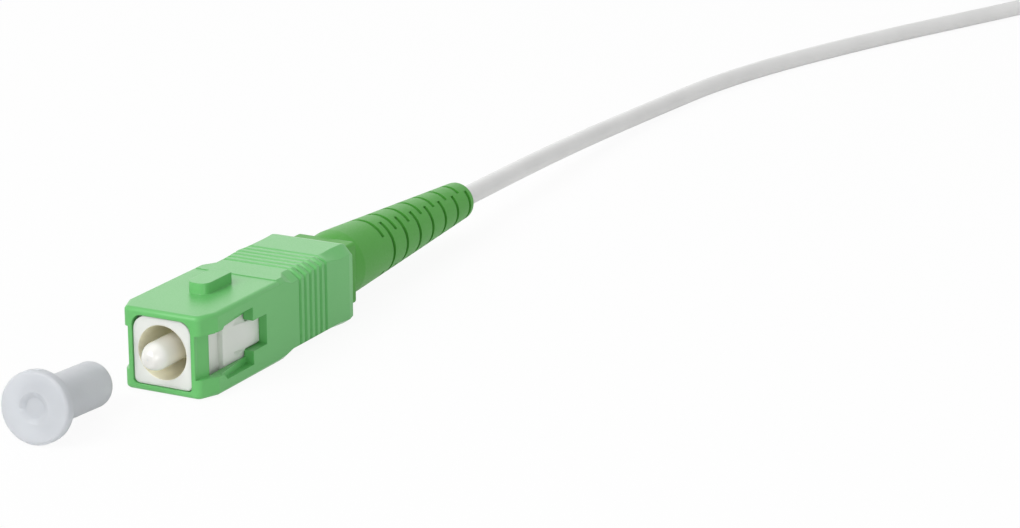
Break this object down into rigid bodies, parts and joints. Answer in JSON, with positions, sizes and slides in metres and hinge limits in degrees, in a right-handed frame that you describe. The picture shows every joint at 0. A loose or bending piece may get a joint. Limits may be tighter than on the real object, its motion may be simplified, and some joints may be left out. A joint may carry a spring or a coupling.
{
  "type": "sc fibre connector",
  "caption": "Push-pull fibre connector with an angled ceramic ferrule, a sliding keyed housing, a slotted boot, a loose dust cap and a coiled cord.",
  "frame": {"origin": "centre of the ferrule's angled end face, on the ferrule's axis", "axes": "+Y runs back along the connector towards its cord, so the mating face looks along -Y; +Z is the key's side; +X is to the right seen from the mating face"},
  "size_m": [0.0323, 0.2347, 0.0085],
  "materials": {
    "housing_plastic": "moulded, fine matt",
    "frame_plastic": "moulded, satin",
    "zirconia": "ground and polished ceramic",
    "flange_metal": "turned",
    "silica": "clear",
    "guide_plastic": "drawn",
    "spring_steel": "drawn",
    "post_metal": "turned",
    "aramid": "loose fibres",
    "crimp_metal": "drawn and crimped",
    "buffer_plastic": "extruded",
    "boot_rubber": "moulded, soft",
    "cap_plastic": "moulded, frosted",
    "jacket": "extruded",
    "tie_plastic": "moulded"
  },
  "bodies": {
    "plug": {"plug_frame": "frame_plastic", "back_post": "post_metal", "crimp_ring": "crimp_metal", "aramid_yarn": "aramid", "tight_buffer": "buffer_plastic", "boot": "boot_rubber", "spring": "spring_steel", "dust_cap": "cap_plastic", "cord": "jacket", "cord_coil": "jacket", "coil_tie_1": "tie_plastic", "coil_tie_2": "tie_plastic", "end_yarn": "aramid", "end_buffer": "buffer_plastic"},
    "grip": {"outer_housing": "housing_plastic"},
    "ferrule_unit": {"ferrule": "zirconia", "ferrule_flange": "flange_metal", "optical_fibre": "silica", "guide_tube": "guide_plastic"}
  },
  "joints": [
    {"name": "housing_slide", "type": "slide", "parent": "plug", "child": "grip", "axis": [0, 1, 0], "range_m": [0, 0.0018]},
    {"name": "ferrule_slide", "type": "slide", "parent": "plug", "child": "ferrule_unit", "axis": [0, 1, 0], "range_m": [0, 0.0015], "stiffness_N_per_m": 1500, "deforming": ["spring"]}
  ]
}
